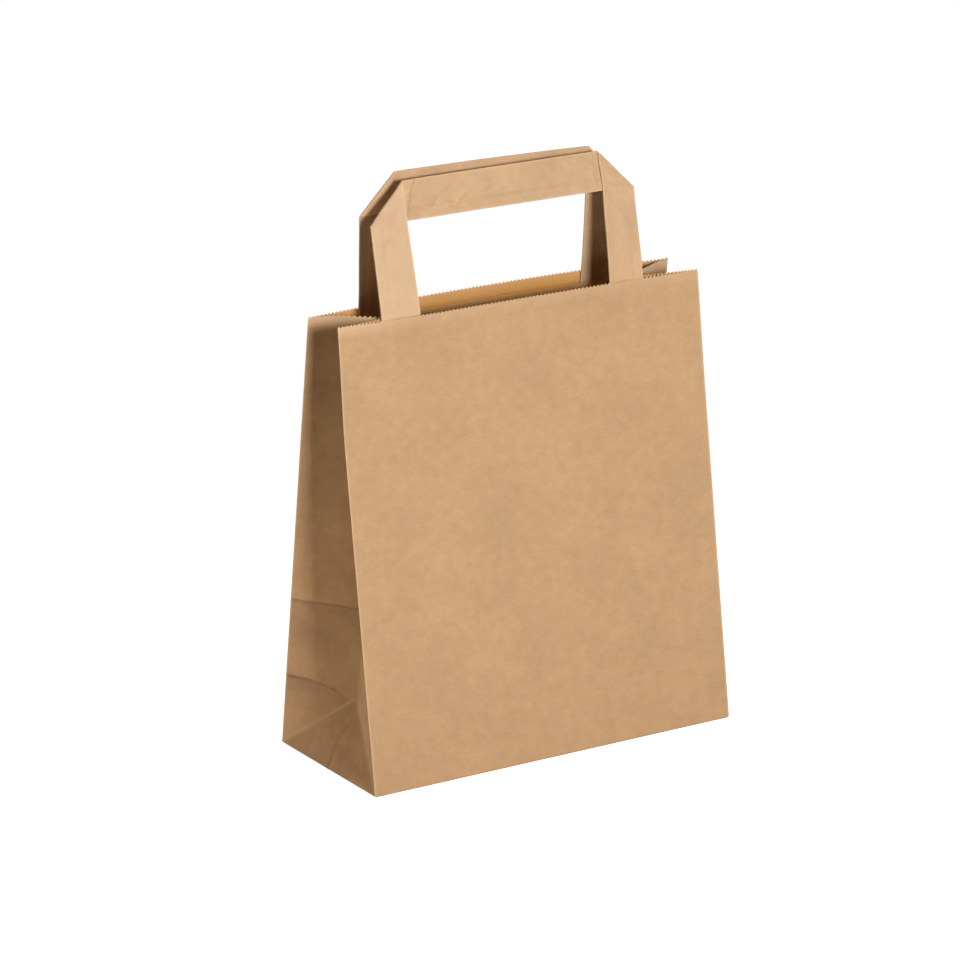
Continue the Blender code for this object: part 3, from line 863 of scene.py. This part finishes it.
def foldTape(side, a, b):
    # a runs along the flat tape and b across it; the leg side turns over on a round diagonal fold
    legDepth = bag["paper"] + tape["clearance"] + tape["thickness"] / 2
    radius = (tape["thickness"] + tape["foldGap"]) / 2
    half = tape["span"] / 2
    low = handles[side]["rise"] - tape["width"]
    end = -1 if a < 0 else 1
    distance = (abs(a) - half + b) / math.sqrt(2)
    arc = math.pi * radius / 2
    turn = min(max(distance / arc, -1.0), 1.0) * math.pi / 2
    inside = max(abs(distance) - arc, 0.0)
    flatPlace = radius * math.cos(turn) - radius - tape["thickness"] / 2 - inside
    move = (flatPlace - distance) / math.sqrt(2)
    depth = legDepth + radius * (1 - math.sin(turn))
    return tapePoint(side, a + end * move, low + b + move, depth)


def tapeRelief(side, a, b):
    # the lengthwise lap of the glued tape, small puckers beside the folds, slow waves and creases
    seed = handles[side]["seed"]
    pastFold = abs(a) - tape["span"] / 2 + b
    onLeg = smoothStep(pastFold / 0.002 + 0.5)
    lap = tape["lapRise"] * smoothStep((tape["lapAt"] - b) / 0.0006 + 0.5)
    above = handles[side]["rise"] - tape["width"] + tape["span"] / 2 - abs(a)
    free = (1 - hump(pastFold, 0.006)) * smoothStep(above / 0.006)
    edge = smoothStep(min(b, tape["width"] - b) / 0.003)
    pucker = tape["pucker"] * hump(pastFold, 0.016) * softNoise((a * 2.2, b * 0.6, seed), 0.006, seed)
    ripple = tape["ripple"] * softNoise((a, 0.5 * b, seed + 2), 0.009, seed)
    wave = tape["wave"] * softNoise((a, 0.3 * b, seed), 0.032, seed)
    relief = lap * (1 - 2 * onLeg) + free * (edge * pucker + edge * ripple + wave)
    if side < 0 and onLeg == 0:
        for points, rise, width in tapeCreases:
            relief += rise * creaseShape((a, b), points, width)
    return relief


def tapeWear(side, a, b):
    # rubbed at the folds and edges, and all over the leg that is held
    half = tape["span"] / 2
    fold = hump((abs(a) - half + b), 0.0007)
    edge = min(b, tape["width"] - b)
    held = 0.33 * smoothStep((b - a - half) / 0.004 + 0.5) if side < 0 else 0.0
    return min(0.5 * fold + 0.45 * hump(edge, 0.0004) + held, 1.0)


def tapeTone(side, a, b):
    # handled paper: a slow change along the tape, and darker creased spots by the folds; a darker line
    # along the lap, the rear crossbar paler, painted light and shade beside the front crossbar's creases,
    # and on the rear legs a painted shadow of the front handle with a painted lit strip by the outer edge
    # and a paler line along the lap
    seed = handles[side]["seed"]
    pastFold = abs(a) - tape["span"] / 2 + b
    tone = 0.05 * softNoise((a, 0.4 * b, seed), 0.020, seed)
    tone += 0.07 * softNoise((a, b, seed + 3), 0.0055, seed)
    tone += 0.14 * hump(pastFold, 0.012) * softNoise((a * 1.6, b, seed + 1), 0.0045, seed)
    lapLine = hump(b - tape["lapAt"], 0.0008)
    # rear legs: painted shadow of the front handle, with a painted lit strip between the outer edge and the
    # lap and a paler line along the lap
    if side > 0 and pastFold > 0:
        paintedLitStrip = smoothStep((tape["lapAt"] - b) / 0.001)
        shade = tape["rearLeftShade"] if a < 0 else tape["rearRightShade"]
        return tone + 0.40 * lapLine + 0.14 * paintedLitStrip - shade
    if side > 0:
        tone += tape["rearGripTone"]
    tone -= 0.18 * lapLine * (0.4 + 0.6 * softNoise((a, 0, seed), 0.030, seed))
    # painted light above each crossbar crease and painted shade below it
    if side < 0 and pastFold < -0.001:
        for points, rise, width in tapeCreases:
            above, fade = creasePlace((a, b), points, width)
            strength = fade * rise / 0.0005
            if above > 0:
                tone += 0.10 * strength * math.exp(-above / (0.5 * width))
            else:
                tone -= 0.22 * strength * math.exp(above / (0.4 * width))
    return tone


def tapeColumns(side):
    # columns slant to run along the diagonal folds: t is where a column meets the lower edge
    half = tape["span"] / 2
    reach = half + handles[side]["rise"] - tape["width"] + tape["legTuck"]
    band = 0.0012
    fine = evenSteps(-band, band, 0.0002)
    right = evenSteps(0, half - band, tape["step"])[:-1] + [half + t for t in fine]
    right += evenSteps(half + band, reach, tape["step"])[1:]
    return [-t for t in reversed(right[1:])] + right


def columnSlant(side, t):
    half = tape["span"] / 2
    reach = half + handles[side]["rise"] - tape["width"] + tape["legTuck"]
    t = abs(t)
    if t < half:
        return smoothStep((t - 0.004) / (half - 0.004 - 0.002))
    return smoothStep((reach - t) / (reach - half - 0.022)) if t > half + 0.020 else 1.0


def buildHandle(side, material):
    def place(t, b):
        end = -1 if t < 0 else 1
        a = t - end * b * columnSlant(side, t)
        point = foldTape(side, a, b)
        step = 0.0003
        along = foldTape(side, a + step, b) - foldTape(side, a - step, b)
        across = foldTape(side, a, b + step) - foldTape(side, a, b - step)
        out = along.cross(across).normalized()
        return point + out * tapeRelief(side, a, b), tapeWear(side, a, b), tapeTone(side, a, b)

    width = tape["width"]
    rows = [0, 0.0003] + evenSteps(0.0010, width - 0.0010, 0.0006) + [width - 0.0003, width]
    bm = sheetFromGrid(tapeColumns(side), rows, place)[0]
    handle = meshObject(handles[side]["name"] + "_tape", bm, material)
    addThickness(handle, tape["thickness"], 0.0)
    bakeModifiers(handle)
    return handle


for side, material in ((-1, frontTapePaper), (1, rearTapePaper)):
    name = handles[side]["name"]
    finishPiece(buildHandle(side, material), [name + "_handle"])
print("handles folded")


# patches glued over the handle ends, inside the bag

patch = {
    "width": 0.152,
    "height": 0.042,
    "drop": 0.006,
    "ramp": 0.0025,
    "step": 0.0014,
    "wave": 0.00012,
    "seed": 5,
}


def patchDepth(x):
    onPanel = bag["paper"] + tape["clearance"] + bag["paper"] / 2
    overLeg = tape["thickness"] + tape["clearance"]
    outer = tape["span"] / 2
    away = max(abs(x) - outer, outer - tape["width"] - abs(x)) - tape["clearance"]
    return onPanel + overLeg * (1 - smoothStep(away / patch["ramp"]))


def buildPatch(side, material):
    low = bag["height"] - patch["drop"] - patch["height"]
    shift = handles[side]["shift"]

    def place(x, v):
        edge = min(patch["width"] / 2 - abs(x), v, patch["height"] - v)
        wave = patch["wave"] * softNoise((x, v, side), 0.014, patch["seed"]) * smoothStep(edge / 0.004)
        depth = patchDepth(x) + max(wave, 0.0)
        return panelPoint(side, shift + x, low + v, depth), 0.15 * hump(edge, 0.0005), 0.0

    columns = evenSteps(-patch["width"] / 2, patch["width"] / 2, patch["step"])
    bm = sheetFromGrid(columns, evenSteps(0, patch["height"], patch["step"]), place)[0]
    piece = meshObject(handles[side]["name"] + "_patch", bm, material)
    addThickness(piece, bag["paper"], 0.0)
    bakeModifiers(piece)
    return piece


for side, material in ((-1, frontLining), (1, rearLining)):
    name = handles[side]["name"]
    finishPiece(buildPatch(side, material), [name + "_handle_patch"])
print("patches laid")


# camera, at the photograph's angle

view = {
    "azimuth": -31.71,
    "elevation": 16.94,
    "roll": -0.51,
    "target": (0, 0, 0.12),
    "distance": 1.98184,
    "lens": 173.3,
    "targetPixel": (504.64, 466.74),
    "framePixels": 960,
}


def placeCamera():
    azimuth, elevation, roll = (math.radians(view[key]) for key in ("azimuth", "elevation", "roll"))
    back = Vector((math.sin(azimuth) * math.cos(elevation), -math.cos(azimuth) * math.cos(elevation),
                   math.sin(elevation)))
    right = Vector((math.cos(azimuth), math.sin(azimuth), 0))
    up = back.cross(right)
    turned = (right * math.cos(roll) + up * math.sin(roll),
              up * math.cos(roll) - right * math.sin(roll), back)
    data = bpy.data.cameras.new("camera")
    data.lens = view["lens"]
    data.sensor_width = 36
    middle = view["framePixels"] / 2
    data.shift_x = (middle - view["targetPixel"][0]) / view["framePixels"]
    data.shift_y = (view["targetPixel"][1] - middle) / view["framePixels"]
    camera = bpy.data.objects.new("camera", data)
    bpy.context.scene.collection.objects.link(camera)
    rotation = Matrix(turned).transposed().to_4x4()
    camera.matrix_world = Matrix.Translation(Vector(view["target"]) + back * view["distance"]) @ rotation
    bpy.context.scene.camera = camera


placeCamera()


# studio: white floor, key lamp in front, warm side lamp, rear lamp and a weak warm fill

studio = {
    "floorSize": 6.0,
    "floorColour": (0.95, 0.91, 0.84),
    "floorGlow": 0.95,
    "clearFrom": 0.16,
    "clearTo": 0.45,
    "keyAzimuth": -6.0,
    "keyElevation": 16.5,
    "keyDistance": 1.3,
    "keySize": 0.24,
    "keyLevel": 0.730,
    "keyColour": (1.0, 1.0, 1.0),
    "sideAzimuth": -104.0,
    "sideElevation": 3.0,
    "sideDistance": 1.2,
    "sideSize": 0.9,
    "sideLevel": 0.26,
    "sideColour": (1.0, 0.87, 0.68),
    "rearAzimuth": 160.0,
    "rearElevation": 20.0,
    "rearDistance": 1.3,
    "rearSize": 0.8,
    "rearLevel": 0.26,
    "rearColour": (1.0, 0.94, 0.86),
    "fillLevel": 0.060,
    "fillColour": (1.0, 0.82, 0.60),
}


def cameraMix(tree, whiteStrength, other, target):
    # what the camera and mirror-like rays see is white, and what lights the object is the other shader
    path = addNode(tree, "ShaderNodeLightPath", "rays", -700, 300)
    first = addNode(tree, "ShaderNodeMath", "camera or glossy", -500, 300, operation="MAXIMUM")
    second = addNode(tree, "ShaderNodeMath", "or transmission", -300, 300, operation="MAXIMUM")
    tree.links.new(path.outputs["Is Camera Ray"], first.inputs[0])
    tree.links.new(path.outputs["Is Glossy Ray"], first.inputs[1])
    tree.links.new(first.outputs[0], second.inputs[0])
    tree.links.new(path.outputs["Is Transmission Ray"], second.inputs[1])
    mix = addNode(tree, "ShaderNodeMixShader", "seen or lighting", 100, 100)
    tree.links.new(second.outputs[0], mix.inputs[0])
    tree.links.new(other, mix.inputs[1])
    tree.links.new(whiteStrength, mix.inputs[2])
    tree.links.new(mix.outputs[0], target)


def makeWorld():
    world = bpy.data.worlds.new("studio")
    bpy.context.scene.world = world
    world.use_nodes = True
    tree = world.node_tree
    fill = tree.nodes["Background"]
    fill.inputs["Color"].default_value = (*studio["fillColour"], 1)
    fill.inputs["Strength"].default_value = studio["fillLevel"]
    white = addNode(tree, "ShaderNodeBackground", "white", -200, -100)
    white.inputs["Color"].default_value = (1, 1, 1, 1)
    white.inputs["Strength"].default_value = 1.0
    cameraMix(tree, white.outputs[0], fill.outputs[0], tree.nodes["World Output"].inputs["Surface"])


def makeFloor():
    material = bpy.data.materials.new("floor")
    material.use_nodes = True
    tree = material.node_tree
    shader = tree.nodes["Principled BSDF"]
    shader.inputs["Base Color"].default_value = (*studio["floorColour"], 1)
    shader.inputs["Roughness"].default_value = 0.9
    shader.inputs["Specular IOR Level"].default_value = 0.1
    glow = addNode(tree, "ShaderNodeEmission", "floor glow", -200, -200)
    glow.inputs["Color"].default_value = (1, 1, 1, 1)
    glow.inputs["Strength"].default_value = studio["floorGlow"]
    lit = addNode(tree, "ShaderNodeAddShader", "lit and glowing", -50, -100)
    tree.links.new(shader.outputs[0], lit.inputs[0])
    tree.links.new(glow.outputs[0], lit.inputs[1])
    place = addNode(tree, "ShaderNodeTexCoord", "place", -1100, -500).outputs["Object"]
    away = addNode(tree, "ShaderNodeVectorMath", "distance from the bag", -900, -500, operation="LENGTH")
    tree.links.new(place, away.inputs[0])
    clear = remap(tree, "past the shadow", -700, -500, away.outputs["Value"],
                  studio["clearFrom"], studio["clearTo"], 0, 1)
    white = addNode(tree, "ShaderNodeEmission", "white sweep", -200, -400)
    white.inputs["Color"].default_value = (1, 1, 1, 1)
    white.inputs["Strength"].default_value = 1.0
    sweep = addNode(tree, "ShaderNodeMixShader", "sweep", 0, -300)
    tree.links.new(clear, sweep.inputs[0])
    tree.links.new(lit.outputs[0], sweep.inputs[1])
    tree.links.new(white.outputs[0], sweep.inputs[2])
    cameraMix(tree, sweep.outputs[0], shader.outputs[0], tree.nodes["Material Output"].inputs["Surface"])
    size = studio["floorSize"] / 2
    bm = bmesh.new()
    corners = [bm.verts.new((x * size, y * size, -0.0001)) for x, y in ((-1, -1), (1, -1), (1, 1), (-1, 1))]
    bm.faces.new(corners)
    floor = meshObject("floor", bm, material)


def makeLamp(name):
    # an area lamp on a sphere round the bag; its level is the light that it throws on the bag
    azimuth, elevation = (math.radians(studio[name + part]) for part in ("Azimuth", "Elevation"))
    toLight = Vector((math.sin(azimuth) * math.cos(elevation), -math.cos(azimuth) * math.cos(elevation),
                      math.sin(elevation)))
    data = bpy.data.lights.new(name, "AREA")
    data.color = studio[name + "Colour"]
    data.size = studio[name + "Size"]
    data.energy = studio[name + "Level"] * (math.pi * studio[name + "Distance"]) ** 2
    lamp = bpy.data.objects.new(name, data)
    bpy.context.scene.collection.objects.link(lamp)
    lamp.location = Vector((0, 0, 0.12)) + toLight * studio[name + "Distance"]
    lamp.rotation_euler = toLight.to_track_quat("Z", "Y").to_euler()


makeWorld()
makeFloor()
for lampName in ("key", "side", "rear"):
    makeLamp(lampName)
bpy.context.scene.view_settings.view_transform = "Standard"
print("studio set")
